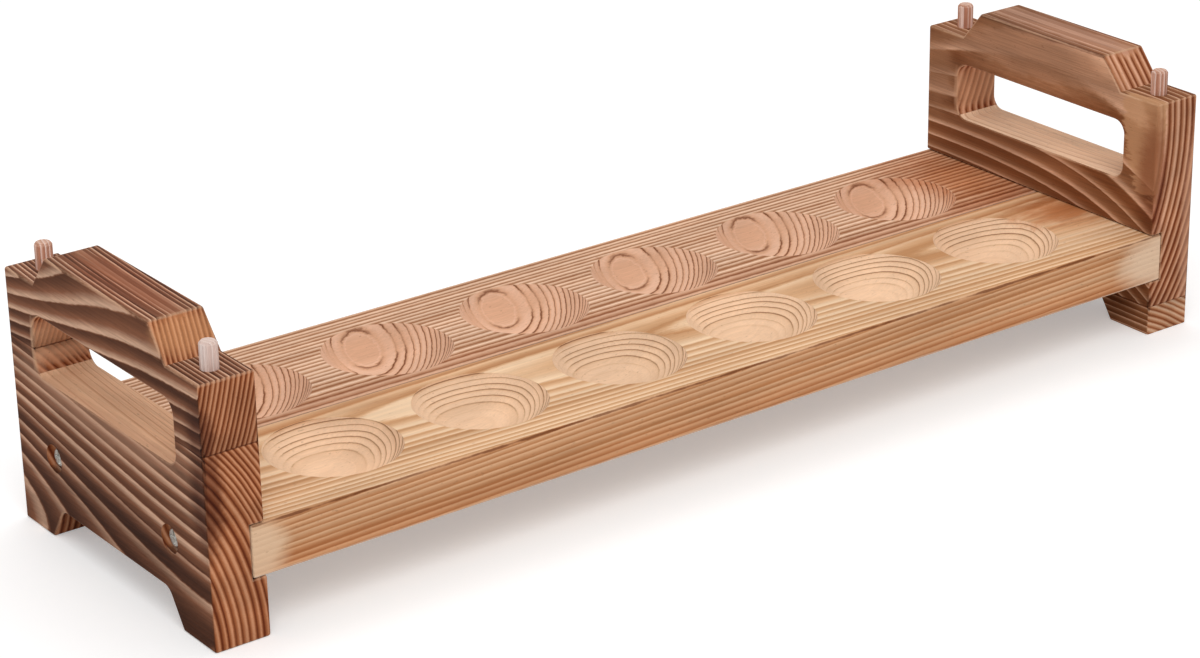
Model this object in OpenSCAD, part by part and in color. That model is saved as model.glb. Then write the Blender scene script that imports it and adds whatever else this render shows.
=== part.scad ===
/* [Egg wells] */
// Number of wells in each of the two rows
wells_per_row = 6; // [3:1:8]
// Diameter of a well at the deck's surface
well_d = 46; // [40:0.5:49]
// Depth of a well at its middle
well_depth = 12; // [8:0.5:15]
// Distance from one well to the next along a row
well_pitch = 57.5; // [52:0.5:70]
// Distance between the middles of the two rows
row_spacing = 56; // [51:0.5:64]
// Plain wood between the last well and the end panel
end_margin = 23.25; // [18:0.25:50]

/* [Deck] */
// Width of the tray, over the deck and the end panels
tray_w = 124; // [116:1:160]
// Thickness of the two deck boards
deck_t = 18; // [16:0.5:24]
// Height of the deck's underside above the table
deck_z = 21; // [17:0.5:30]
// Radius of the eased long edges
arris_r = 1; // [0.5:0.25:2]

/* [End panels] */
// Thickness of the end panels
end_t = 20; // [16:0.5:28]
// Height of the shoulders above the table
shoulder_h = 90; // [84:1:130]
// Length of each shoulder, and of each foot that stands on one
shoulder_w = 19.5; // [17:0.5:24]
// Height of the handle above the shoulders
handle_rise = 11.5; // [9.5:0.5:15]
// Sideways run of the handle's slanted ends
handle_run = 9.5; // [5:0.5:14]
// Depth of the housing that holds the end of the deck
housing_d = 5; // [3:0.5:8]
// Gap above the deck in its housing
housing_play = 0.3; // [0.1:0.1:0.8]
// Height of the glue line in the left end panel
left_glue_z = 66.5; // [60:0.5:76]
// Depth of the right end panel's glue line below the notch roof
foot_glue_drop = 1; // [0.5:0.25:3]

/* [Handle slot] */
// Height of the slot
slot_h = 22; // [18:0.5:28]
// Wood between the slot and the top of the shoulders
slot_drop = 11; // [8:0.5:16]
// Wood between the slot and the side of the panel
slot_side = 17; // [14:0.5:26]
// Corner radius of the slot
slot_r = 5; // [2:0.5:8]

/* [Foot notch] */
// Play above the handle of a tray below, when stacked
stack_play_z = 0.5; // [0.2:0.1:2]
// Play beside the handle of a tray below, at its top
stack_play_y = 1.5; // [1:0.25:3]
// Corner radius of the notch roof
notch_r = 5; // [1:0.5:6]

/* [Stacking pins] */
// Diameter of a pin
pin_d = 6; // [5:0.5:8]
// Whole length of a pin
pin_l = 30; // [20:1:40]
// Length of pin that stands above the shoulder
pin_out = 9; // [6:0.5:11]
// Chamfer on both ends of a pin
pin_chamfer = 0.8; // [0.4:0.1:1.2]
// Width of the glue groove round a pin at the mouth of its hole
groove_w = 1; // [0.5:0.1:1.5]
// Depth of the glue groove
groove_depth = 0.25; // [0.1:0.05:0.5]
// Gap around the pin of a tray below in its socket
socket_play = 0.25; // [0.1:0.05:0.6]
// Depth of a socket beyond the end of the pin
socket_extra = 1; // [0.5:0.25:3]

/* [Screws] */
// Distance between the two screws of an end
screw_spacing = 75; // [60:1:90]
// Diameter of the screw shank
screw_d = 4; // [3:0.5:5]
// Length of the screw below its head
screw_l = 40; // [30:1:45]
// Length of the screw's point
screw_tip = 6; // [4:0.5:9]
// Diameter of the screw head
head_d = 8; // [7:0.5:8.5]
// Thickness of the screw head
head_t = 2.4; // [1.8:0.1:2.8]
// Width of the cross cut in the screw head
cross_w = 1.1; // [0.8:0.1:1.5]
// Depth of the cross cut in the screw head
cross_depth = 1.2; // [0.8:0.1:1.5]
// Diameter of the counterbore round the head
counterbore_d = 10; // [9:0.5:13]
// Depth of the counterbore
counterbore_depth = 4; // [3:0.5:6]
// Gap around the shank in its holes
screw_play = 0.1; // [0.05:0.05:0.3]

/* [Hidden] */
$fn = 96;
// Length by which a cutting tool runs past the face that it opens
past = 1;

inner_l = (wells_per_row - 1) * well_pitch + well_d + 2 * end_margin;
tray_l = inner_l + 2 * end_t;
deck_l = inner_l + 2 * housing_d;
deck_top = deck_z + deck_t;
well_r = well_d / 2;
ball_r = (well_r * well_r + well_depth * well_depth) / (2 * well_depth);

panel_top = shoulder_h + handle_rise;
handle_foot_y = tray_w / 2 - shoulder_w;
handle_top_y = handle_foot_y - handle_run;

slot_w = tray_w - 2 * slot_side;
slot_top = shoulder_h - slot_drop;
slot_z = slot_top - slot_h;

notch_h = handle_rise + stack_play_z;
notch_roof_y = handle_top_y + stack_play_y;
foot_glue_z = notch_h - foot_glue_drop;
// Half the angle between the notch roof and its side, and the fillet's tangent length
notch_half_angle = (90 + atan((handle_foot_y - notch_roof_y) / notch_h)) / 2;
notch_tangent = notch_r / tan(notch_half_angle);

pin_x = tray_l / 2 - end_t / 2;
pin_y = tray_w / 2 - shoulder_w / 2;
pin_hole_z = shoulder_h - (pin_l - pin_out);
socket_depth = pin_out + socket_extra;

screw_z = deck_z + deck_t / 2;
screw_head_x = tray_l / 2 - counterbore_depth;
cross_l = 0.6 * head_d;

back_board_colour = "#c98f63";
front_board_colour = "#dcb383";
left_panel_colour = "#75553c";
right_panel_colour = "#93663f";
foot_colour = "#8a5a38";
pin_colour = "#d9ac93";
screw_colour = "#b4b2ac";

// Stands a flat shape, drawn in width and height, upright and gives it a length along X
module along_x(length)
    rotate([90, 0, 90]) linear_extrude(length) children();

// Rectangle with its lower left corner at the origin and all four corners rounded
module rounded_rectangle(w, h, r) {
    translate([r, 0]) square([w - 2 * r, h]);
    translate([0, r]) square([w, h - 2 * r]);
    for (x = [r, w - r], y = [r, h - r])
        translate([x, y]) circle(r);
}

// Section of a deck board, from the seam outwards, with its two outer edges eased
module deck_section() {
    w = tray_w / 2;
    square([w - arris_r, deck_t]);
    translate([0, arris_r]) square([w, deck_t - 2 * arris_r]);
    for (z = [arris_r, deck_t - arris_r])
        translate([w - arris_r, z]) circle(arris_r);
}

// Round hole along X from the plane x, towards the middle of the tray on the right
module hole_inwards(x, y, z, d, depth)
    translate([x - depth, y, z]) rotate([0, 90, 0]) cylinder(d = d, h = depth);

// Screw shank's pilot holes in the end of one deck board, both ends of the tray
module pilot_holes() {
    reach = screw_l - (screw_head_x - deck_l / 2) + past;
    for (m = [0, 1])
        mirror([m, 0, 0])
            hole_inwards(deck_l / 2 + past, screw_spacing / 2, screw_z,
                         screw_d + 2 * screw_play, reach + past);
}

// Row of egg wells at the distance y from the seam
module wells(y)
    for (i = [0 : wells_per_row - 1])
        translate([(i - (wells_per_row - 1) / 2) * well_pitch, y, deck_top + ball_r - well_depth])
            sphere(ball_r);

// Deck board on the +Y side of the seam, lying in the housings of both end panels
module deck_board()
    difference() {
        translate([-deck_l / 2, 0, deck_z]) along_x(deck_l) deck_section();
        wells(row_spacing / 2);
        pilot_holes();
    }

// Outline of an end panel: feet, sides, shoulders and raised handle
module panel_outline()
    polygon([[-tray_w / 2, 0], [tray_w / 2, 0],
             [tray_w / 2, shoulder_h], [handle_foot_y, shoulder_h],
             [handle_top_y, panel_top], [-handle_top_y, panel_top],
             [-handle_foot_y, shoulder_h], [-tray_w / 2, shoulder_h]]);

// Notch between the feet, which passes over the handle of a tray below
module notch_outline() {
    side_y = notch_roof_y + notch_tangent * cos(180 - 2 * notch_half_angle);
    side_z = notch_h - notch_tangent * sin(180 - 2 * notch_half_angle);
    roof_y = notch_roof_y - notch_tangent;
    polygon([[-handle_foot_y, -past], [handle_foot_y, -past], [handle_foot_y, 0],
             [side_y, side_z], [roof_y, notch_h], [-roof_y, notch_h],
             [-side_y, side_z], [-handle_foot_y, 0]]);
    for (y = [-roof_y, roof_y])
        translate([y, notch_h - notch_r]) circle(notch_r);
}

// Hand hole through the panel, under the handle
module slot_outline()
    translate([-slot_w / 2, slot_z]) rounded_rectangle(slot_w, slot_h, slot_r);

// Housing, pin holes, stacking sockets and screw holes of the right end panel
module panel_joinery() {
    housing_x = tray_l / 2 - end_t;
    translate([housing_x - past, -tray_w / 2 - past, deck_z])
        cube([housing_d + past, tray_w + 2 * past, deck_t + housing_play]);
    for (s = [-1, 1]) {
        translate([pin_x, s * pin_y, pin_hole_z])
            cylinder(d = pin_d, h = pin_l - pin_out + past);
        translate([pin_x, s * pin_y, -past])
            cylinder(d = pin_d + 2 * socket_play, h = socket_depth + past);
        hole_inwards(tray_l / 2 + past, s * screw_spacing / 2, screw_z,
                     counterbore_d, counterbore_depth + past);
        hole_inwards(tray_l / 2, s * screw_spacing / 2, screw_z,
                     screw_d + 2 * screw_play, end_t);
    }
}

// The whole right end panel, between the heights z0 and z1
module panel_piece(z0, z1)
    difference() {
        intersection() {
            translate([tray_l / 2 - end_t, 0, 0]) along_x(end_t) panel_outline();
            translate([tray_l / 2 - end_t, -tray_w / 2, z0])
                linear_extrude(z1 - z0) rounded_rectangle(end_t, tray_w, arris_r);
        }
        translate([tray_l / 2 - end_t - past, 0, 0]) along_x(end_t + 2 * past) {
            notch_outline();
            slot_outline();
        }
        panel_joinery();
    }

// Beech pin, glued tight in its hole in the shoulder
module stacking_pin(x, y) {
    r = pin_d / 2;
    shoulder = pin_l - pin_out;
    translate([x, y, pin_hole_z])
        rotate_extrude()
            difference() {
                polygon([[0, 0], [r - pin_chamfer, 0], [r, pin_chamfer], [r, pin_l - pin_chamfer],
                         [r - pin_chamfer, pin_l], [0, pin_l]]);
                translate([r - groove_depth, shoulder - groove_w / 2]) square([past, groove_w]);
            }
}

// Wood screw of the right end, its head on the counterbore's floor and its point in the deck
module deck_screw(y)
    translate([screw_head_x, y, screw_z]) rotate([0, -90, 0])
        difference() {
            rotate_extrude()
                polygon([[0, -head_t], [head_d / 2 - head_t / 2, -head_t], [head_d / 2, -head_t / 2],
                         [head_d / 2, 0], [screw_d / 2, 0], [screw_d / 2, screw_l - screw_tip],
                         [0, screw_l]]);
            for (a = [0, 90])
                rotate([0, 0, a]) translate([-cross_l / 2, -cross_w / 2, -head_t - past])
                    cube([cross_l, cross_w, cross_depth + past]);
        }

module front_deck_board() { color(front_board_colour) mirror([0, 1, 0]) deck_board(); }
module back_deck_board() { color(back_board_colour) deck_board(); }

module left_end_upper_board() {
    color(left_panel_colour) mirror([1, 0, 0]) panel_piece(left_glue_z, panel_top);
}
module left_end_lower_board() {
    color(left_panel_colour) mirror([1, 0, 0]) panel_piece(0, left_glue_z);
}
module right_end_board() { color(right_panel_colour) panel_piece(foot_glue_z, panel_top); }

// One of the two blocks left by the notch below the right panel's glue line
module foot_block(side)
    intersection() {
        panel_piece(0, foot_glue_z);
        translate([tray_l / 2 - end_t - past, side > 0 ? 0 : -tray_w, -past])
            cube([end_t + 2 * past, tray_w, notch_h + past]);
    }
module right_front_foot_block() { color(foot_colour) foot_block(-1); }
module right_back_foot_block() { color(foot_colour) foot_block(1); }

module left_front_pin() { color(pin_colour) stacking_pin(-pin_x, -pin_y); }
module left_back_pin() { color(pin_colour) stacking_pin(-pin_x, pin_y); }
module right_front_pin() { color(pin_colour) stacking_pin(pin_x, -pin_y); }
module right_back_pin() { color(pin_colour) stacking_pin(pin_x, pin_y); }

module left_front_screw() {
    color(screw_colour) mirror([1, 0, 0]) deck_screw(-screw_spacing / 2);
}
module left_back_screw() {
    color(screw_colour) mirror([1, 0, 0]) deck_screw(screw_spacing / 2);
}
module right_front_screw() { color(screw_colour) deck_screw(-screw_spacing / 2); }
module right_back_screw() { color(screw_colour) deck_screw(screw_spacing / 2); }

front_deck_board();
back_deck_board();
left_end_upper_board();
left_end_lower_board();
right_end_board();
right_front_foot_block();
right_back_foot_block();
left_front_pin();
left_back_pin();
right_front_pin();
right_back_pin();
left_front_screw();
left_back_screw();
right_front_screw();
right_back_screw();
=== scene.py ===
import math

import bmesh
import bpy
from mathutils import Matrix, Vector


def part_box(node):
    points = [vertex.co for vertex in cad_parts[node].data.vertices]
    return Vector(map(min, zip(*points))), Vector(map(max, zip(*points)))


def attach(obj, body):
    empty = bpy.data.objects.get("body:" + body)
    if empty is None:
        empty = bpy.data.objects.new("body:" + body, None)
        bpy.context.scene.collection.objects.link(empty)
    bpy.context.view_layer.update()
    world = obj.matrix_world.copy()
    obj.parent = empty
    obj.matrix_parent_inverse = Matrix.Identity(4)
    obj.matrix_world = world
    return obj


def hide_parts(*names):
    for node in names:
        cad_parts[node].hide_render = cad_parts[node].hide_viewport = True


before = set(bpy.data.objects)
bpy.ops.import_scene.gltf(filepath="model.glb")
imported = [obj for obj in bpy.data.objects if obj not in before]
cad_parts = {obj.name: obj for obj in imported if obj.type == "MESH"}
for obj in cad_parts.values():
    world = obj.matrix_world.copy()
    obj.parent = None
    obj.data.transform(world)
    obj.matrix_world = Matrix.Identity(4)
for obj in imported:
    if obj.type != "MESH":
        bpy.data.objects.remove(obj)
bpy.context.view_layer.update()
MM = 0.001

# Sizes of the tray that the dressing pieces follow, in millimetres
HALF_LENGTH = 210.0
HALF_WIDTH = 62.0
PANEL_INNER_FACE = 190.0
PANEL_MIDDLE = 200.0
DECK_BOTTOM = 21.0
DECK_TOP = 39.0
HANDLE_TOP = 101.5
LEFT_GLUE_LINE = 66.5
RIGHT_GLUE_LINE = 11.0
WELLS_IN_ROW = 6
WELL_RADIUS = 23.0
WELL_PITCH = 57.5
WELL_ROW = 28.0
SLOT_HALF = 45.0
SLOT_BOTTOM = 57.0
SLOT_TOP = 79.0
PIN_X = 200.0
PIN_Y = 52.25
PIN_RADIUS = 3.0
SCREW_Y = 37.5
SCREW_Z = 30.0
ARRIS = 0.9
WELL_RIM_ARRIS = 0.25
HOLE_ARRIS = 0.2
SCREW_ARRIS = 0.15


# Camera

def aim_camera():
    """Stands the camera where the photograph was taken from."""
    azimuth = math.radians(36.131)
    elevation = math.radians(22.807)
    roll = math.radians(-1.113)
    distance = 1.170073
    target = Vector((-16.416, 0.0, 36.892)) * MM
    back = Vector((-math.sin(azimuth) * math.cos(elevation),
                   -math.cos(azimuth) * math.cos(elevation),
                   math.sin(elevation)))
    level = Vector((0, 0, 1)).cross(back).normalized()
    upright = back.cross(level)
    right = level * math.cos(roll) + upright * math.sin(roll)
    up = upright * math.cos(roll) - level * math.sin(roll)
    data = bpy.data.cameras.new("photo_camera")
    data.sensor_width = 36.0
    data.sensor_fit = "HORIZONTAL"
    data.lens = 100.957
    data.clip_start = 0.05
    data.clip_end = 30.0
    camera = bpy.data.objects.new("photo_camera", data)
    bpy.context.scene.collection.objects.link(camera)
    turn = Matrix((right, up, back)).transposed().to_4x4()
    camera.matrix_world = Matrix.Translation(target + back * distance) @ turn
    bpy.context.scene.camera = camera


aim_camera()


# Node building

def colour(code):
    """A colour written as on a paint card, made linear for the shaders."""
    values = []
    for i in (1, 3, 5):
        c = int(code[i:i + 2], 16) / 255
        values.append(c / 12.92 if c <= 0.04045 else ((c + 0.055) / 1.055) ** 2.4)
    return (*values, 1.0)


class Sheet:
    """A node tree being drawn, with short ways to place and join nodes."""

    def __init__(self, tree):
        self.tree = tree
        self.nodes = tree.nodes
        self.links = tree.links

    def plug(self, socket, value):
        if isinstance(value, bpy.types.NodeSocket):
            self.links.new(value, socket)
        else:
            socket.default_value = value

    def math(self, operation, a, b=None, c=None, clamp=False):
        n = self.nodes.new("ShaderNodeMath")
        n.operation = operation
        n.use_clamp = clamp
        for socket, value in zip(n.inputs, (a, b, c)):
            if value is not None:
                self.plug(socket, value)
        return n.outputs[0]

    def add(self, a, b):
        return self.math("ADD", a, b)

    def sub(self, a, b):
        return self.math("SUBTRACT", a, b)

    def mul(self, a, b):
        return self.math("MULTIPLY", a, b)

    def div(self, a, b):
        return self.math("DIVIDE", a, b)

    def spread(self, value, from_low, from_high, to_low=0.0, to_high=1.0, smooth=False):
        n = self.nodes.new("ShaderNodeMapRange")
        n.interpolation_type = "SMOOTHSTEP" if smooth else "LINEAR"
        n.clamp = True
        for socket, v in zip(n.inputs[:5], (value, from_low, from_high, to_low, to_high)):
            self.plug(socket, v)
        return n.outputs[0]

    def blend(self, factor, a, b, way="MIX"):
        n = self.nodes.new("ShaderNodeMix")
        n.data_type = "RGBA"
        n.blend_type = way
        n.clamp_factor = True
        self.plug(n.inputs["Factor"], factor)
        self.plug(n.inputs["A"], a)
        self.plug(n.inputs["B"], b)
        return n.outputs["Result"]

    def mix(self, factor, a, b):
        n = self.nodes.new("ShaderNodeMix")
        n.data_type = "FLOAT"
        n.clamp_factor = True
        self.plug(n.inputs["Factor"], factor)
        self.plug(n.inputs["A"], a)
        self.plug(n.inputs["B"], b)
        return n.outputs["Result"]

    def combine(self, x, y, z):
        n = self.nodes.new("ShaderNodeCombineXYZ")
        for socket, v in zip(n.inputs, (x, y, z)):
            self.plug(socket, v)
        return n.outputs[0]

    def separate(self, vector):
        n = self.nodes.new("ShaderNodeSeparateXYZ")
        self.links.new(vector, n.inputs[0])
        return n.outputs

    def stretch(self, vector, scale, shift=(0, 0, 0)):
        n = self.nodes.new("ShaderNodeVectorMath")
        n.operation = "MULTIPLY_ADD"
        self.plug(n.inputs[0], vector)
        self.plug(n.inputs[1], scale)
        self.plug(n.inputs[2], shift)
        return n.outputs[0]

    def vector(self, operation, a, b):
        n = self.nodes.new("ShaderNodeVectorMath")
        n.operation = operation
        self.plug(n.inputs[0], a)
        self.plug(n.inputs[1], b)
        return n.outputs["Vector"]

    def length(self, vector):
        n = self.nodes.new("ShaderNodeVectorMath")
        n.operation = "LENGTH"
        self.plug(n.inputs[0], vector)
        return n.outputs["Value"]

    def noise(self, vector, detail=2.0, roughness=0.5):
        n = self.nodes.new("ShaderNodeTexNoise")
        n.inputs["Scale"].default_value = 1.0
        n.inputs["Detail"].default_value = detail
        n.inputs["Roughness"].default_value = roughness
        self.links.new(vector, n.inputs["Vector"])
        return n.outputs["Fac"]

    def noise_along(self, value, detail=1.0):
        n = self.nodes.new("ShaderNodeTexNoise")
        n.noise_dimensions = "1D"
        n.inputs["Scale"].default_value = 1.0
        n.inputs["Detail"].default_value = detail
        self.plug(n.inputs["W"], value)
        return n.outputs["Fac"]

    def lot(self, value):
        """A random number drawn afresh for each whole number."""
        n = self.nodes.new("ShaderNodeTexWhiteNoise")
        n.noise_dimensions = "1D"
        self.plug(n.inputs["W"], value)
        return n.outputs["Value"]

    def attribute(self, name):
        n = self.nodes.new("ShaderNodeAttribute")
        n.attribute_name = name
        return n.outputs["Fac"]

    def place(self, group, **values):
        n = self.nodes.new("ShaderNodeGroup")
        n.node_tree = group
        for key, value in values.items():
            self.plug(n.inputs[key.replace("_", " ")], value)
        return n.outputs

    def bump(self, height, strength, distance, normal=None):
        n = self.nodes.new("ShaderNodeBump")
        self.plug(n.inputs["Strength"], strength)
        n.inputs["Distance"].default_value = distance
        self.links.new(height, n.inputs["Height"])
        if normal is not None:
            self.links.new(normal, n.inputs["Normal"])
        return n.outputs[0]


def new_group(name, inputs, outputs):
    """A shader node group; inputs give each named socket its starting value."""
    tree = bpy.data.node_groups.new(name, "ShaderNodeTree")
    for key, value in inputs.items():
        kind = {tuple: "NodeSocketColor", str: "NodeSocketVector"}.get(type(value), "NodeSocketFloat")
        socket = tree.interface.new_socket(key, in_out="INPUT", socket_type=kind)
        if not isinstance(value, str):
            socket.default_value = value
    for key, kind in outputs.items():
        tree.interface.new_socket(key, in_out="OUTPUT", socket_type="NodeSocket" + kind)
    sheet = Sheet(tree)
    given = sheet.nodes.new("NodeGroupInput").outputs
    out = sheet.nodes.new("NodeGroupOutput").inputs
    return sheet, tree, given, out


def new_material(name):
    """An empty material, the sheet of its nodes and the socket that takes its shader."""
    material = bpy.data.materials.new(name)
    material.use_nodes = True
    sheet = Sheet(material.node_tree)
    sheet.nodes.clear()
    surface = sheet.nodes.new("ShaderNodeOutputMaterial").inputs["Surface"]
    return material, sheet, surface


def object_place(s):
    """The place of each point on the tray, in millimetres."""
    return s.stretch(s.nodes.new("ShaderNodeTexCoord").outputs["Object"], (1000, 1000, 1000))


# Growth rings

def build_ring_radius():
    """Distance from the pith of the trunk that a board was sawn from, in millimetres."""
    s, tree, given, out = new_group("ring radius", {
        "Along": 0.0, "Across": 0.0, "Up": 0.0,
        "Pith Across": 0.0, "Pith Up": 0.0, "Oval": 1.0,
        "Lean Across": 0.0, "Lean Up": 0.0, "Bow Across": 0.0, "Bow Up": 0.0,
        "Sweep Across": 0.0, "Sweep Up": 0.0, "Sweep Reach": 40.0, "Half Length": 62.0,
        "Wobble": 0.3, "Wobble Length": 60.0, "Grit": 0.12}, {"Radius": "Float"})
    t = s.div(given["Along"], given["Half Length"])
    tt = s.mul(t, t)
    from_front = s.add(given["Along"], given["Half Length"])
    fade = s.math("EXPONENT", s.mul(s.div(from_front, given["Sweep Reach"]), -1.0))

    def pith(axis):
        line = s.add(given["Pith " + axis], s.mul(given["Lean " + axis], t))
        line = s.math("MULTIPLY_ADD", given["Bow " + axis], tt, line)
        return s.math("MULTIPLY_ADD", given["Sweep " + axis], fade, line)

    a = s.sub(given["Across"], pith("Across"))
    u = s.mul(s.sub(given["Up"], pith("Up")), given["Oval"])
    r = s.math("SQRT", s.add(s.mul(a, a), s.mul(u, u)))
    seat = s.combine(s.div(given["Along"], given["Wobble Length"]),
                     s.mul(given["Across"], 0.06), s.mul(given["Up"], 0.06))
    wave = s.mul(s.sub(s.noise(seat, 2.0, 0.5), 0.5), s.mul(given["Wobble"], 2.0))
    close = s.combine(s.mul(given["Along"], 0.25), s.mul(given["Across"], 0.7), s.mul(given["Up"], 0.7))
    grit = s.mul(s.sub(s.noise(close, 3.0, 0.65), 0.5), s.mul(given["Grit"], 2.0))
    s.plug(out["Radius"], s.add(r, s.add(wave, grit)))
    return tree


def build_ring_count():
    """Turns the radius into years: how far through its year each point is, and a lot drawn for each year."""
    s, tree, given, out = new_group("ring count", {
        "Radius": 0.0, "First Ring": 0.0, "Ring Width": 2.5, "Narrows At": 1000.0, "Narrow Width": 1.5,
        "Unevenness": 0.1, "Seed": 0.0}, {"Year": "Float", "Lot": "Float"})
    wide = s.div(s.sub(given["Radius"], given["First Ring"]), given["Ring Width"])
    past = s.math("MAXIMUM", s.sub(given["Radius"], given["Narrows At"]), 0.0)
    closer = s.mul(past, s.sub(s.div(1.0, given["Narrow Width"]), s.div(1.0, given["Ring Width"])))
    drift = s.sub(s.noise_along(s.add(s.mul(given["Radius"], 0.35), given["Seed"])), 0.5)
    count = s.math("MULTIPLY_ADD", drift, s.mul(given["Unevenness"], 2.0), s.add(wide, closer))
    year = s.math("FLOOR", count)
    s.plug(out["Year"], s.math("FRACT", count))
    s.plug(out["Lot"], s.lot(s.add(year, given["Seed"])))
    return tree


def build_latewood_band():
    """Rises slowly from early wood to late wood through the year, then falls at the year's end."""
    s, tree, given, out = new_group("latewood band", {
        "Year": 0.0, "Peak": 0.85, "Power": 2.0}, {"Band": "Float"})
    rise = s.math("POWER", s.math("MINIMUM", s.div(given["Year"], given["Peak"]), 1.0), given["Power"])
    fall = s.spread(given["Year"], given["Peak"], 1.0, 1.0, 0.0, smooth=True)
    s.plug(out["Band"], s.mul(rise, fall))
    return tree


RING_RADIUS = build_ring_radius()
RING_COUNT = build_ring_count()
LATEWOOD_BAND = build_latewood_band()


def build_fibre():
    """Streaks and long lines along the grain, a slow mottle, fine fibres and dark specks.

    All are centred on nought but the specks, which are one where there is a speck.
    """
    s, tree, given, out = new_group("wood fibre", {
        "Along": 0.0, "Across": 0.0, "Up": 0.0, "Streak Length": 22.0, "Streak Width": 0.45,
        "Line Width": 1.3, "Mottle Length": 55.0, "Mottle Width": 13.0, "Seed": 0.0},
        {"Streak": "Float", "Line": "Float", "Mottle": "Float", "Fine": "Float", "Speck": "Float"})

    def field(length, width, shift, detail, roughness):
        seat = s.combine(s.add(s.div(given["Along"], length), given["Seed"]),
                         s.add(s.div(given["Across"], width), shift), s.div(given["Up"], width))
        return s.sub(s.noise(seat, detail, roughness), 0.5)

    s.plug(out["Streak"], field(given["Streak Length"], given["Streak Width"], 3.0, 3.0, 0.6))
    s.plug(out["Line"], field(260.0, given["Line Width"], 5.0, 1.0, 0.5))
    s.plug(out["Mottle"], field(given["Mottle Length"], given["Mottle Width"], 7.0, 2.0, 0.5))
    s.plug(out["Fine"], field(2.0, 0.35, 11.0, 2.0, 0.6))
    s.plug(out["Speck"], s.spread(field(2.2, 0.7, 17.0, 1.0, 0.5), 0.2, 0.26))
    return tree


FIBRE = build_fibre()


def build_wood_colour():
    """Lays early and late wood colours side by side and shades them by the fibre and each year's lot."""
    s, tree, given, out = new_group("wood colour", {
        "Band": 0.0, "Lot": 0.5, "Early": (0.3, 0.15, 0.08, 1), "Middle": (0.4, 0.2, 0.1, 1),
        "Late": (0.6, 0.4, 0.25, 1), "Lot Share": 0.3, "Streak": 0.0, "Streak Share": 0.3,
        "Line": 0.0, "Line Share": 0.1, "Mottle": 0.0, "Mottle Share": 0.5},
        {"Colour": "Color"})
    level = s.sub(given["Band"], s.mul(s.sub(given["Lot"], 0.5), given["Lot Share"]))
    low = s.spread(level, 0.0, 0.5)
    high = s.spread(level, 0.5, 1.0)
    base = s.blend(high, s.blend(low, given["Early"], given["Middle"]), given["Late"])
    tone = s.mul(given["Streak"], given["Streak Share"])
    tone = s.math("MULTIPLY_ADD", given["Line"], given["Line Share"], tone)
    tone = s.math("MULTIPLY_ADD", given["Mottle"], given["Mottle Share"], tone)
    bright = s.math("MULTIPLY_ADD", tone, 2.0, 1.0)
    grey = s.combine(bright, bright, bright)
    s.plug(out["Colour"], s.blend(1.0, base, grey, "MULTIPLY"))
    return tree


WOOD_COLOUR = build_wood_colour()


def build_soft_patch():
    """A ragged blot round a centre: one at its heart, nought outside its reach."""
    s, tree, given, out = new_group("soft patch", {
        "Place": "vector", "Centre": "vector", "Reach": "vector", "Softness": 0.5, "Raggedness": 0.3},
        {"Mask": "Float"})
    offset = s.vector("DIVIDE", s.vector("SUBTRACT", given["Place"], given["Centre"]), given["Reach"])
    rough = s.sub(s.noise(s.stretch(given["Place"], (0.1, 0.4, 0.4)), 3.0, 0.6), 0.5)
    edge = s.math("MULTIPLY_ADD", rough, s.mul(given["Raggedness"], 2.0), s.length(offset))
    s.plug(out["Mask"], s.spread(edge, s.sub(1.0, given["Softness"]), 1.0, 1.0, 0.0, smooth=True))
    return tree


SOFT_PATCH = build_soft_patch()


def patch(way, centre, reach, value, share=1.0, soft=0.6, ragged=0.25):
    """A place on a board that differs.

    "tint" multiplies its colour by the value and "paint" covers it; "calm" fades the rings to the level
    of the value, and "calm cut" does so on the cut faces inside the wells and slots.
    """
    return {"way": way, "centre": centre, "reach": reach, "value": value, "share": share,
            "soft": soft, "ragged": ragged}


def well_centres():
    """Where the wells of a row stand along the tray."""
    return [(i - (WELLS_IN_ROW - 1) / 2) * WELL_PITCH for i in range(WELLS_IN_ROW)]


def left_sides_of_wells(row, level):
    """Patches over the left third of each well, where the rings hardly show."""
    return [patch("calm cut", (x - 17, row, 35), (13, 26, 14), level, 0.85) for x in well_centres()]


def patch_mask(s, place, spot):
    mask =s.place(SOFT_PATCH, Place=place, Centre=spot["centre"], Reach=spot["reach"],
                   Softness=spot["soft"], Raggedness=spot["ragged"])["Mask"]
    return s.mul(mask, spot["share"])


def ring_face(s, look, years, fibre, calm_spots):
    """Colour and ring band of one kind of face."""
    band = s.place(LATEWOOD_BAND, Year=years["Year"], Peak=look.get("peak", 0.85),
                   Power=look.get("power", 2.0))["Band"]
    for mask, level in calm_spots:
        band = s.mix(mask, band, level)
    shade = s.place(WOOD_COLOUR, Band=band, Lot=years["Lot"], Early=colour(look["early"]),
                    Middle=colour(look["middle"]), Late=colour(look["late"]),
                    Lot_Share=look.get("lot", 0.35), Streak=fibre["Streak"],
                    Streak_Share=look.get("streak", 0.3), Line=fibre["Line"],
                    Line_Share=look.get("line", 0.1), Mottle=fibre["Mottle"],
                    Mottle_Share=look.get("mottle", 0.35))["Colour"]
    return shade, band


EARLY_ROUGHNESS = 0.78
LATE_ROUGHNESS = 0.64
GRAIN_BUMP = 0.6
GRAIN_DEPTH = 0.00025


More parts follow.
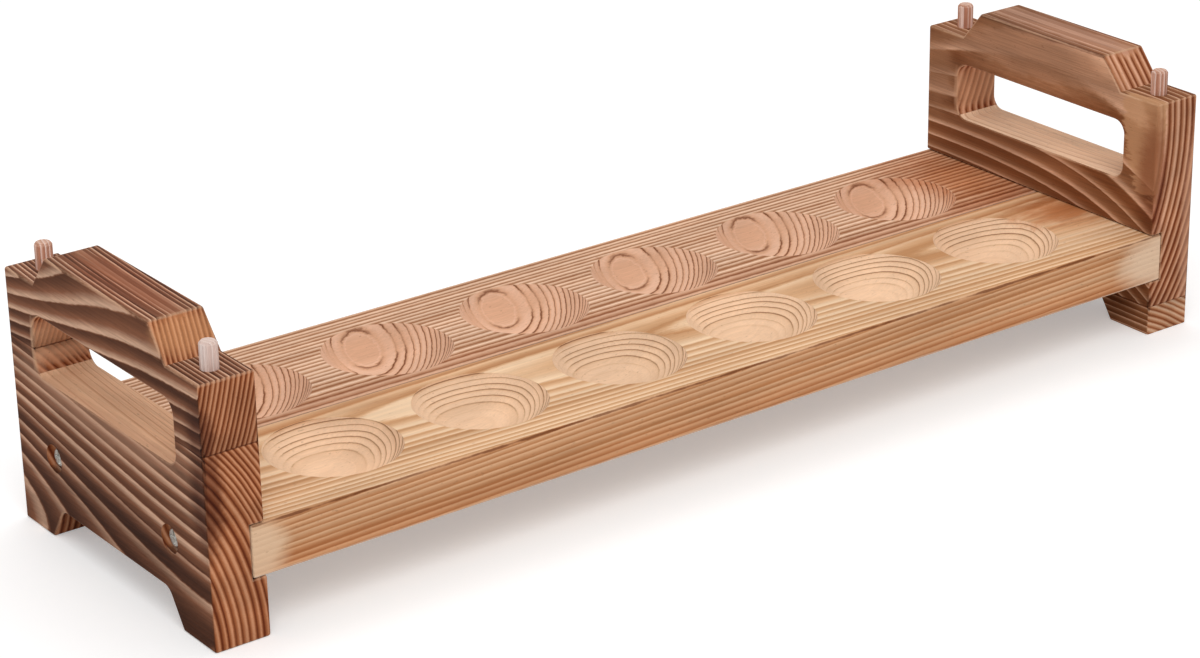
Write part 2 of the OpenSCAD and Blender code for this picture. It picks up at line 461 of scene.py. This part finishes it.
def wood_material(name, grain, rings, look, seed):
    """The finish of one board: its rings, the colours of its faces and the patches where it differs."""
    material, s, surface = new_material(name)
    place = s.separate(object_place(s))
    along, across, up = (place[i] for i in {"x": (0, 1, 2), "y": (1, 0, 2), "z": (2, 0, 1)}[grain])
    axes = {"Along": along, "Across": across, "Up": up}
    seat = s.combine(along, across, up)
    radius = s.place(RING_RADIUS, **axes, **rings["pith"])["Radius"]
    years = s.place(RING_COUNT, Radius=radius, Seed=seed, **rings["years"])
    fibre = s.place(FIBRE, **axes, Seed=seed, **rings.get("fibre", {}))
    spots = look.get("patches", ())
    calm_spots = [(patch_mask(s, seat, spot), spot["value"]) for spot in spots if spot["way"] == "calm"]
    calm_cuts = [(patch_mask(s, seat, spot), spot["value"]) for spot in spots if spot["way"] == "calm cut"]

    side_colour, side_band = ring_face(s, look["side"], years, fibre, calm_spots)
    end_colour, end_band = ring_face(s, look["end"], years, fibre, calm_spots)
    cut_colour, cut_band = ring_face(s, look["cut"], years, fibre, calm_cuts)
    end_share = s.spread(s.attribute("end_grain"), 0.45, 0.75)
    fresh = s.attribute("fresh_cut")
    base = s.blend(end_share, side_colour, end_colour)
    base = s.blend(fresh, base, cut_colour)
    for spot in spots:
        if spot["way"] == "tint":
            base = s.blend(patch_mask(s, seat, spot), base, colour(spot["value"]), "MULTIPLY")
        if spot["way"] == "paint":
            base = s.blend(patch_mask(s, seat, spot), base, colour(spot["value"]))
    base = s.blend(s.mul(fibre["Speck"], look.get("specks", 0.25)), base, colour(look["speck"]))
    wear = s.spread(s.add(fibre["Fine"], s.mul(side_band, 0.5)), -0.2, 0.35, 0.0, look.get("wear", 0.55))
    base = s.blend(s.mul(s.attribute("arris"), wear), base, colour(look["worn"]))

    shader = s.nodes.new("ShaderNodeBsdfPrincipled")
    s.plug(shader.inputs["Base Color"], base)
    s.plug(shader.inputs["Roughness"],
           s.spread(s.add(side_band, fibre["Fine"]), 0.0, 1.0, EARLY_ROUGHNESS, LATE_ROUGHNESS))
    relief = s.mix(fresh, s.mix(end_share, side_band, end_band), cut_band)
    height = s.math("MULTIPLY_ADD", fibre["Streak"], 0.7, s.mul(relief, look.get("relief", 0.7)))
    height = s.math("MULTIPLY_ADD", fibre["Fine"], 0.4, height)
    s.plug(shader.inputs["Normal"], s.bump(height, GRAIN_BUMP, GRAIN_DEPTH))
    shader.inputs["Specular IOR Level"].default_value = 0.12
    s.links.new(shader.outputs[0], surface)
    return material


# Finishes of the boards; a patch gives its centre and reach along the grain, across it and up, in millimetres

FAR = 1000.0
LEFT_PANEL_FACES = {
    "side": {"early": "#502d1c", "middle": "#8a583e", "late": "#d2a88c", "peak": 0.88, "power": 1.7,
             "streak": 0.5, "lot": 0.45},
    "end": {"early": "#672b10", "middle": "#a4623c", "late": "#cc8f6a", "peak": 0.6, "power": 1.0,
            "streak": 0.15, "line": 0.0},
    # Cut faces of the hand slot: the pale colour of fresh-cut wood, made paler still as painted light,
    # standing in for light on the slot floor that the handle shades
    "cut": {"early": "#e6bc98", "middle": "#edc5a2", "late": "#d0a07c", "peak": 0.8, "power": 2.0,
            "streak": 0.2},
    "worn": "#c99f80", "speck": "#3c2013",
}
LEFT_LOWER_LOOK = {
    **LEFT_PANEL_FACES,
    "patches": [
        patch("paint", (0, -HALF_LENGTH, 58), (80, 6, 13), "#bd8e72", 0.42),
        patch("tint", (5, -HALF_LENGTH, 14), (75, 6, 26), "#c8c0ba", 0.8),
        patch("paint", (45.5, -PANEL_MIDDLE, 68), (2, 30, 13), "#d8aa88", 0.62),
        patch("tint", (-HALF_WIDTH, -HALF_LENGTH, 52), (12, 9, 26), "#a08a80", 0.9),
        patch("tint", (0, 0, LEFT_GLUE_LINE), (FAR, FAR, 0.4), "#a08878", 0.8, 0.6, 0.1)],
}
LEFT_UPPER_LOOK = {
    **LEFT_PANEL_FACES,
    "patches": [
        patch("calm", (0, -198.6, 102), (FAR, 4.5, 3), 0.45, 0.9),
        patch("calm", (0, -204.6, 102), (FAR, 1.6, 3), 0.35, 0.7),
        patch("paint", (45.5, -PANEL_MIDDLE, 68), (2, 30, 13), "#d8aa88", 0.62),
        patch("paint", (-38, -PANEL_MIDDLE, 97), (9, 16, 9), "#d69a6a", 0.4),
        patch("tint", (0, -PANEL_MIDDLE, HANDLE_TOP), (40, 14, 3), "#f6e0d8", 0.8),
        patch("tint", (-HALF_WIDTH, -HALF_LENGTH, 72), (12, 6, 14), "#b09a90", 0.9),
        patch("tint", (0, 0, LEFT_GLUE_LINE), (FAR, FAR, 0.4), "#a08878", 0.8, 0.6, 0.1)],
}
RIGHT_PANEL_LOOK = {
    "side": {"early": "#7c4828", "middle": "#9f6d4c", "late": "#d8a98a", "peak": 0.9, "power": 2.6,
             "streak": 0.4, "lot": 0.3, "mottle": 0.55},
    "end": {"early": "#6f3011", "middle": "#b07450", "late": "#dca687", "peak": 0.6, "power": 1.0,
            "streak": 0.15, "line": 0.0},
    # Cut faces of the hand slot: the pale colour of fresh-cut wood, made paler still as painted light,
    # standing in for light on the slot floor that the handle shades
    "cut": {"early": "#f0cbaa", "middle": "#f4d2b4", "late": "#d8ae8c", "peak": 0.8, "power": 2.0,
            "streak": 0.2},
    "worn": "#d2a786", "speck": "#5a3018",
    "patches": [
        patch("calm", (5, PANEL_INNER_FACE, 91), (64, 12, 15), 0.62, 0.92),
        patch("calm", (0, 201, 102), (FAR, 9, 4), 0.72, 0.95),
        patch("calm", (57, PANEL_INNER_FACE, 72), (14, 12, 20), 0.58, 0.75),
        patch("paint", (-60, PANEL_INNER_FACE, 92), (17, 5, 42), "#c8966e", 0.75, 0.15, 0.4),
        patch("paint", (45.5, PANEL_MIDDLE, 68), (2, 30, 13), "#cf9f7c", 0.5),
        patch("tint", (-HALF_WIDTH, 191, 62), (12, 6, 32), "#c09c8c", 0.8),
        # Painted highlight: a paler strip along the outer edge of the right panel's front face
        patch("paint", (-HALF_WIDTH, HALF_LENGTH, 40), (6, 7, 50), "#dca687", 0.4),
        patch("tint", (0, PANEL_MIDDLE, HANDLE_TOP), (46, 14, 3), "#ebe6ec", 0.9, 0.4),
        patch("tint", (0, PANEL_INNER_FACE, HANDLE_TOP), (FAR, 1.4, 1.2), "#a8887a", 0.8),
        patch("tint", (0, 0, RIGHT_GLUE_LINE), (FAR, FAR, 0.4), "#a08878", 0.7, 0.6, 0.1)],
}
FOOT_LOOK = {
    **RIGHT_PANEL_LOOK,
    "end": {"early": "#8a4c2a", "middle": "#c08560", "late": "#dab090", "peak": 0.6, "power": 1.0,
            "streak": 0.15, "line": 0.0},
    "patches": [],
}
FRONT_DECK_LOOK = {
    "side": {"early": "#c48f62", "middle": "#deb086", "late": "#f2cfaa", "peak": 0.75, "power": 1.1,
             "streak": 0.12, "line": 0.16, "lot": 0.4, "mottle": 0.2},
    "end": {"early": "#b98a60", "middle": "#d9b188", "late": "#eccaa4", "peak": 0.65},
    "cut": {"early": "#f1cdac", "middle": "#e2bb97", "late": "#976c4c", "peak": 0.8, "power": 4.0,
            "streak": 0.16, "line": 0.04, "mottle": 0.25},
    "worn": "#e8c8a4", "speck": "#8a6244", "specks": 0.3, "relief": 0.35, "wear": 0.35,
    "patches": [
        *left_sides_of_wells(-WELL_ROW, 0.1),
        patch("calm", (166, -32, DECK_TOP), (36, 26, 6), 0.65, 0.65),
        patch("calm cut", (0, -28, 26), (FAR, FAR, 8), 0.15, 0.9, 0.7, 0.15),
        # Painted shade: dark lines round the deck's ends where they enter the housings of the end panels,
        # standing in for the shadow in the gap there
        patch("tint", (-195.2, -HALF_WIDTH, 30), (0.9, 2, FAR), "#6a4a38", 0.9, 0.6, 0.05),
        patch("tint", (-194, -HALF_WIDTH, 20.8), (4.2, 2, 0.9), "#6a4a38", 0.9, 0.6, 0.05),
        patch("tint", (195.2, -HALF_WIDTH, 30), (0.9, 2, FAR), "#6a4a38", 0.9, 0.6, 0.05),
        patch("tint", (194, -HALF_WIDTH, 20.8), (4.2, 2, 0.9), "#6a4a38", 0.9, 0.6, 0.05),
        patch("tint", (0, -HALF_WIDTH, 30), (FAR, 1.2, FAR), "#e6d2c4", 0.9),
        patch("tint", (0, 0, DECK_TOP), (FAR, 13, 2), "#e8d6c6", 0.8),
        patch("tint", (190, -20, DECK_TOP), (42, 20, 4), "#d8ac8a", 0.9, 0.8, 0.5),
        patch("tint", (0, -HALF_WIDTH, 22), (FAR, 3, 7), "#f2dccb", 0.7),
        patch("paint", (-193, -HALF_WIDTH, 30), (14, 2, 14), "#eccaa8", 0.75),
        patch("paint", (194, -HALF_WIDTH, 30), (26, 2, 14), "#f0d2b4", 0.75),
        patch("tint", (0, -HALF_WIDTH, DECK_TOP), (FAR, 0.8, 0.8), "#8c6a54", 0.8, 0.5, 0.7),
        patch("paint", (0, -HALF_WIDTH, DECK_BOTTOM), (FAR, 1.2, 1.1), "#ead0b8", 0.7, 0.5, 0.4),
        patch("tint", (0, 0, 30), (FAR, 0.45, FAR), "#7c5c48", 0.8, 0.6, 0.2)],
}
BACK_DECK_LOOK = {
    "side": {"early": "#9a6340", "middle": "#cc9c7a", "late": "#efc8ab", "peak": 0.6, "power": 0.9,
             "streak": 0.18, "line": 0.2, "lot": 0.4, "mottle": 0.2},
    "end": {"early": "#a8704c", "middle": "#cc9c7c", "late": "#e8c0a4", "peak": 0.65},
    "cut": {"early": "#e9bda0", "middle": "#dbaa89", "late": "#7c4a2e", "peak": 0.82, "power": 3.2,
            "streak": 0.18, "line": 0.04, "lot": 0.35, "mottle": 0.2},
    "worn": "#e6c2a6", "speck": "#80523a", "specks": 0.3, "relief": 0.5, "wear": 0.35,
    "patches": [
        *left_sides_of_wells(WELL_ROW, 0.2),
        patch("calm cut", (0, 44.8, 32.6), (FAR, 9.5, 6), 0.35, 0.7),
        patch("tint", (180, 30, DECK_TOP), (52, 60, 6), "#dcb494", 0.95, 0.9, 0.3),
        patch("tint", (0, 2, DECK_TOP), (FAR, 9, 2), "#e0ccc0", 0.8),
        patch("tint", (0, 0, 30), (FAR, 0.45, FAR), "#7c5c48", 0.8, 0.6, 0.2)],
}

RINGS = {
    "left_end_lower_board": {
        "pith": {"Pith Across": -257.0, "Pith Up": 1.9, "Oval": 0.8, "Lean Across": 3.6, "Lean Up": 0.9,
                 "Bow Across": 2.5, "Bow Up": -3.1},
        "years": {"Ring Width": 2.5, "First Ring": 0.65, "Narrows At": 72.0, "Narrow Width": 1.55}},
    "left_end_upper_board": {
        "pith": {"Pith Across": -401.6, "Pith Up": 119.1, "Oval": 1.21, "Lean Across": 2.55, "Lean Up": 0.5,
                 "Bow Across": 2.64, "Bow Up": 5.4, "Sweep Across": -1.4, "Sweep Up": -3.9,
                 "Sweep Reach": 29.0},
        "years": {"Ring Width": 1.73, "First Ring": 0.25}},
    "right_end_board": {
        "pith": {"Pith Across": 55.0, "Pith Up": 107.5, "Oval": 1.17, "Lean Across": -1.1, "Lean Up": -1.6,
                 "Bow Across": 3.7, "Bow Up": 4.5, "Sweep Across": -6.9, "Sweep Up": -33.9,
                 "Sweep Reach": 37.6},
        "years": {"Ring Width": 3.02, "First Ring": 1.1}},
    "foot_block": {
        "pith": {"Pith Across": 152.0, "Pith Up": -134.0, "Oval": 0.78},
        "years": {"Ring Width": 1.8, "First Ring": 0.3}},
    "front_deck_board": {
        "pith": {"Pith Across": -19.7, "Pith Up": -15.0, "Lean Across": -3.0, "Lean Up": 2.5,
                 "Half Length": 190.0, "Sweep Reach": 400.0, "Wobble": 0.5, "Wobble Length": 90.0},
        "years": {"Ring Width": 1.55, "Unevenness": 0.25}},
    "back_deck_board": {
        "pith": {"Pith Across": -75.0, "Pith Up": 193.0, "Half Length": 190.0, "Sweep Reach": 400.0,
                 "Wobble": 0.35, "Wobble Length": 80.0, "Grit": 0.28},
        "years": {"Ring Width": 1.6, "First Ring": 1.14, "Unevenness": 0.2}},
}


def socket_names(group):
    """The sockets' names as a call can give them, with no spaces."""
    return {k.replace(" ", "_"): v for k, v in group.items()}


for rings in RINGS.values():
    rings["pith"] = socket_names(rings["pith"])
    rings["years"] = socket_names(rings["years"])


# Boards with eased arrises

def on_glue_plane(edge, heights):
    """True for an edge that lies in one of the glued joints."""
    return any(all(abs(v.co.z - h * MM) < 1e-5 for v in edge.verts) for h in heights)


def on_well_rim(edge):
    """True for an edge where a well meets the deck's top."""
    for v in edge.verts:
        if abs(v.co.z - DECK_TOP * MM) > 2e-5:
            return False
    a, b = (v.co for v in edge.verts)
    middle = (a + b) / 2 / MM
    for row in (-WELL_ROW, WELL_ROW):
        for x in well_centres():
            if abs(math.hypot(middle.x - x, middle.y - row) - WELL_RADIUS) < 0.2:
                return True
    return False


def merged_copy(node):
    """The CAD node's mesh with its loose triangles joined into whole faces."""
    bm = bmesh.new()
    bm.from_mesh(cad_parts[node].data)
    bmesh.ops.remove_doubles(bm, verts=bm.verts[:], dist=2e-6)
    bmesh.ops.dissolve_limit(bm, angle_limit=math.radians(0.3), verts=bm.verts[:], edges=bm.edges[:])
    bmesh.ops.recalc_face_normals(bm, faces=bm.faces[:])
    return bm


def hard_edges(bm):
    """The outward edges sharp enough to need easing."""
    return [e for e in bm.edges if len(e.link_faces) == 2 and e.is_convex
            and e.calc_face_angle(0) > math.radians(25)]


def ease(bm, edges, width, segments=3):
    """Rounds some edges over and marks the middle of each rounding as worn."""
    if not edges:
        return
    made = bmesh.ops.bevel(bm, geom=edges, offset=width * MM, offset_type="OFFSET", segments=segments,
                           profile=0.5, affect="EDGES", material=-1, clamp_overlap=True)
    strip = set(made["faces"])
    arris = bm.verts.layers.float["arris"]
    for v in {v for f in strip for v in f.verts}:
        if all(f in strip for f in v.link_faces):
            v[arris] = 1.0


def finish_piece(bm, name, material, nodes):
    """Makes the mesh an object, gives it its finish and hangs it on the tray."""
    mesh = bpy.data.meshes.new(name)
    bm.to_mesh(mesh)
    bm.free()
    mesh.materials.append(material)
    piece = bpy.data.objects.new(name, mesh)
    bpy.context.scene.collection.objects.link(piece)
    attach(piece, "root")
    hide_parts(*nodes)
    return piece


def shade_evenly(piece):
    """Weights the normals by face size, so that eased arrises leave the flats flat."""
    modifier = piece.modifiers.new("even_shading", "WEIGHTED_NORMAL")
    modifier.keep_sharp = True
    return modifier


def make_board(node, grain, material, glue_heights=()):
    """A board whose sharp outer arrises are eased and whose cut faces are marked for their finish."""
    bm = merged_copy(node)
    bm.verts.layers.float.new("arris")
    end_layer = bm.faces.layers.float.new("end_grain")
    cut_layer = bm.faces.layers.float.new("fresh_cut")
    axis = {"x": 0, "y": 1, "z": 2}[grain]
    hard = [e for e in hard_edges(bm) if not on_glue_plane(e, glue_heights)]
    rims = [e for e in hard if on_well_rim(e)]
    small = [e for e in hard if e not in set(rims) and is_small_hole(e)]
    outer = [e for e in hard if e not in set(rims) and e not in set(small)]
    ease(bm, outer, ARRIS)
    ease(bm, [e for e in rims if e.is_valid], WELL_RIM_ARRIS, 2)
    ease(bm, [e for e in small if e.is_valid], HOLE_ARRIS, 2)
    bm.normal_update()
    for f in bm.faces:
        f.smooth = True
        f[end_layer] = abs(f.normal[axis])
        f[cut_layer] = 1.0 if is_fresh_cut(f) else 0.0
    piece = finish_piece(bm, node + "_wood", material, [node])
    shade_evenly(piece).weight = 80


def is_small_hole(edge):
    """True for the rims of pin holes, stacking sockets, pilot holes and counterbores."""
    a, b = (v.co / MM for v in edge.verts)
    m = (a + b) / 2
    near_pin = math.hypot(abs(m.x) - PIN_X, abs(m.y) - PIN_Y) < 4.0
    near_screw = math.hypot(m.z - SCREW_Z, abs(m.y) - SCREW_Y) < 5.5
    return near_pin or near_screw


def is_fresh_cut(face):
    """True inside the wells and on the floor and ceiling of the hand slots."""
    c = face.calc_center_median() / MM
    n = face.normal
    in_deck = abs(c.x) < PANEL_INNER_FACE + 0.5 and abs(c.y) < HALF_WIDTH - 1.2
    if in_deck and DECK_BOTTOM + 3 < c.z < DECK_TOP - 0.2:
        return True
    if abs(c.x) > PANEL_INNER_FACE - 0.5:
        inside_slot = abs(c.y) < SLOT_HALF + 0.1 and SLOT_BOTTOM - 0.1 < c.z < SLOT_TOP + 0.1
        if inside_slot and abs(n.x) < 0.5 and abs(n.y) < 0.6:
            return True
    return False


BOARDS = [
    ("front_deck_board", "x", "front_deck_board", FRONT_DECK_LOOK, "front_deck_wood", (), 3.0),
    ("back_deck_board", "x", "back_deck_board", BACK_DECK_LOOK, "back_deck_wood", (), 8.0),
    ("left_end_upper_board", "y", "left_end_upper_board", LEFT_UPPER_LOOK, "left_end_wood",
     (LEFT_GLUE_LINE,), 13.0),
    ("left_end_lower_board", "y", "left_end_lower_board", LEFT_LOWER_LOOK, "left_end_wood",
     (LEFT_GLUE_LINE,), 17.0),
    ("right_end_board", "y", "right_end_board", RIGHT_PANEL_LOOK, "right_end_wood", (RIGHT_GLUE_LINE,), 23.0),
    ("right_front_foot_block", "y", "foot_block", FOOT_LOOK, "foot_wood", (RIGHT_GLUE_LINE,), 29.0),
    ("right_back_foot_block", "y", "foot_block", FOOT_LOOK, "foot_wood", (RIGHT_GLUE_LINE,), 29.0),
]
for node, grain, ring_name, look, slot, glue, seed in BOARDS:
    finish = wood_material(node + "_finish", grain, RINGS[ring_name], look, seed)
    make_board(node, grain, finish, glue)


# Pins; the depths go once across a flute, and the nose is the share of the width left at a chamfered end

FLUTES = 14
FLUTE_DEPTHS = (0.0, 0.05, 0.17, 0.22, 0.17, 0.05)
PIN_CHAMFER = 0.8
PIN_SHAFT = 28.4
PIN_NOSE = 0.78
PIN_RINGS = {"pith": {"Pith_Across": -30.0, "Pith_Up": 12.0, "Wobble": 0.1}, "years": {"Ring_Width": 1.4},
             "fibre": {"Streak_Width": 0.25, "Streak_Length": 8.0}}
PIN_LOOK = {
    "side": {"early": "#b47c64", "middle": "#cf9e88", "late": "#ecd0c4", "streak": 0.6},
    "end": {"early": "#d0a088", "middle": "#dfb6a2", "late": "#eccdbf"},
    "cut": {"early": "#d0a088", "middle": "#dfb6a2", "late": "#eccdbf"},
    "worn": "#efd9cb", "speck": "#9a6a54",
    "patches": [patch("paint", (95, -PIN_X, -PIN_Y), (14, 8, 8), "#f0e2dc", 0.5)],
}


def make_pin(node, material):
    """A fluted beech dowel with chamfered ends, on the centre line of its CAD pin."""
    low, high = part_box(node)
    centre = (low + high) / 2
    bm = bmesh.new()
    ring = bmesh.ops.create_circle(bm, cap_ends=True, radius=PIN_RADIUS * MM,
                                   segments=FLUTES * len(FLUTE_DEPTHS))["verts"]
    for i, v in enumerate(sorted(ring, key=lambda v: math.atan2(v.co.y, v.co.x))):
        v.co *= 1 - FLUTE_DEPTHS[i % len(FLUTE_DEPTHS)] / PIN_RADIUS
    bmesh.ops.transform(bm, matrix=Matrix.Diagonal((PIN_NOSE, PIN_NOSE, 1, 1)), verts=bm.verts[:])
    top = bm.faces[:][0]
    steps = ((PIN_CHAMFER, 1 / PIN_NOSE), (PIN_SHAFT, 1.0), (PIN_CHAMFER, PIN_NOSE))
    for step, (height, scale) in enumerate(steps):
        made = bmesh.ops.extrude_face_region(bm, geom=[top])
        verts = [g for g in made["geom"] if isinstance(g, bmesh.types.BMVert)]
        faces = [g for g in made["geom"] if isinstance(g, bmesh.types.BMFace)]
        if step:
            bmesh.ops.delete(bm, geom=[top], context="FACES_ONLY")
        top = faces[0]
        bmesh.ops.translate(bm, vec=(0, 0, height * MM), verts=verts)
        bmesh.ops.transform(bm, matrix=Matrix.Diagonal((scale, scale, 1, 1)), verts=verts)
    bmesh.ops.recalc_face_normals(bm, faces=bm.faces[:])
    bmesh.ops.translate(bm, vec=(centre.x, centre.y, low.z), verts=bm.verts[:])
    bm.verts.layers.float.new("arris")
    end_layer = bm.faces.layers.float.new("end_grain")
    bm.faces.layers.float.new("fresh_cut")
    bm.normal_update()
    for f in bm.faces:
        f[end_layer] = abs(f.normal.z)
        f.smooth = abs(f.normal.z) < 0.5
    return finish_piece(bm, node + "_dowel", material, [node])


pin_finish = wood_material("pin_beech", "z", PIN_RINGS, PIN_LOOK, 31.0)
for side in ("left", "right"):
    for row in ("front", "back"):
        make_pin(f"{side}_{row}_pin", pin_finish)


# Screws

def screw_steel():
    """Bright zinc on steel, cloudy and finely grained."""
    material, s, surface = new_material("screw_steel")
    place = object_place(s)
    cloud = s.noise(s.stretch(place, (0.5, 0.5, 0.5)), 3.0, 0.6)
    fine = s.noise(s.stretch(place, (6.0, 6.0, 6.0)), 2.0, 0.5)
    shader = s.nodes.new("ShaderNodeBsdfPrincipled")
    s.plug(shader.inputs["Base Color"], s.blend(cloud, colour("#a9a49a"), colour("#d2d0cb")))
    shader.inputs["Metallic"].default_value = 1.0
    s.plug(shader.inputs["Roughness"], s.spread(fine, 0.3, 0.7, 0.22, 0.4))
    s.plug(shader.inputs["Normal"], s.bump(fine, 0.15, 0.0001))
    s.links.new(shader.outputs[0], surface)
    return material


def make_screw(node, material):
    """The screw with the edges of its head and recess rounded over."""
    bm = merged_copy(node)
    bm.verts.layers.float.new("arris")
    ease(bm, hard_edges(bm), SCREW_ARRIS, 2)
    for f in bm.faces:
        f.smooth = True
    shade_evenly(finish_piece(bm, node + "_steel", material, [node]))


steel = screw_steel()
for side in ("left", "right"):
    for row in ("front", "back"):
        make_screw(f"{side}_{row}_screw", steel)


# Floor, light and backdrop

FLOOR_SHADE = 0.86
FLOOR_GLOW = 0.32
ROOM_LIGHT = 0.55


def build_stage():
    """A pale floor that looks white to the camera and keeps the tray's shadow."""
    bm = bmesh.new()
    bmesh.ops.create_grid(bm, x_segments=1, y_segments=1, size=3.0)
    mesh = bpy.data.meshes.new("pale_floor")
    bm.to_mesh(mesh)
    bm.free()
    floor = bpy.data.objects.new("pale_floor", mesh)
    bpy.context.scene.collection.objects.link(floor)
    material, s, surface = new_material("pale_floor")
    paper = s.nodes.new("ShaderNodeBsdfDiffuse")
    paper.inputs["Color"].default_value = (FLOOR_SHADE, FLOOR_SHADE, FLOOR_SHADE, 1)
    glow = s.nodes.new("ShaderNodeEmission")
    path = s.nodes.new("ShaderNodeLightPath")
    s.plug(glow.inputs["Strength"], s.mul(path.outputs["Is Camera Ray"], FLOOR_GLOW))
    both = s.nodes.new("ShaderNodeAddShader")
    s.links.new(paper.outputs[0], both.inputs[0])
    s.links.new(glow.outputs[0], both.inputs[1])
    s.links.new(both.outputs[0], surface)
    mesh.materials.append(material)


def add_softbox(name, place, aim, size, power):
    """A square lamp in metres and watts, turned towards its aim."""
    data = bpy.data.lights.new(name, "AREA")
    data.shape = "RECTANGLE"
    data.size = size[0]
    data.size_y = size[1]
    data.energy = power
    lamp = bpy.data.objects.new(name, data)
    bpy.context.scene.collection.objects.link(lamp)
    lamp.location = place
    lamp.rotation_euler = (Vector(aim) - Vector(place)).to_track_quat("-Z", "Y").to_euler()


def light_room():
    """Even light from all round, two softboxes above and a white backdrop."""
    world = bpy.data.worlds.new("studio")
    bpy.context.scene.world = world
    world.use_nodes = True
    s = Sheet(world.node_tree)
    s.nodes.clear()
    room = s.nodes.new("ShaderNodeBackground")
    room.inputs["Color"].default_value = (1, 1, 1, 1)
    room.inputs["Strength"].default_value = ROOM_LIGHT
    white = s.nodes.new("ShaderNodeBackground")
    white.inputs["Color"].default_value = (1, 1, 1, 1)
    white.inputs["Strength"].default_value = 1.0
    path = s.nodes.new("ShaderNodeLightPath")
    seen = s.math("MAXIMUM", path.outputs["Is Camera Ray"],
                  s.math("MAXIMUM", path.outputs["Is Glossy Ray"], path.outputs["Is Transmission Ray"]))
    pick = s.nodes.new("ShaderNodeMixShader")
    s.links.new(seen, pick.inputs[0])
    s.links.new(room.outputs[0], pick.inputs[1])
    s.links.new(white.outputs[0], pick.inputs[2])
    output = s.nodes.new("ShaderNodeOutputWorld")
    s.links.new(pick.outputs[0], output.inputs["Surface"])
    add_softbox("key_softbox", (-0.5, -0.9, 1.3), (0, 0, 0.04), (0.9, 0.9), 9.0)
    add_softbox("top_softbox", (0.3, 0.5, 1.5), (0, 0, 0.04), (1.2, 0.8), 5.0)


build_stage()
light_room()
bpy.context.scene.view_settings.view_transform = "Standard"
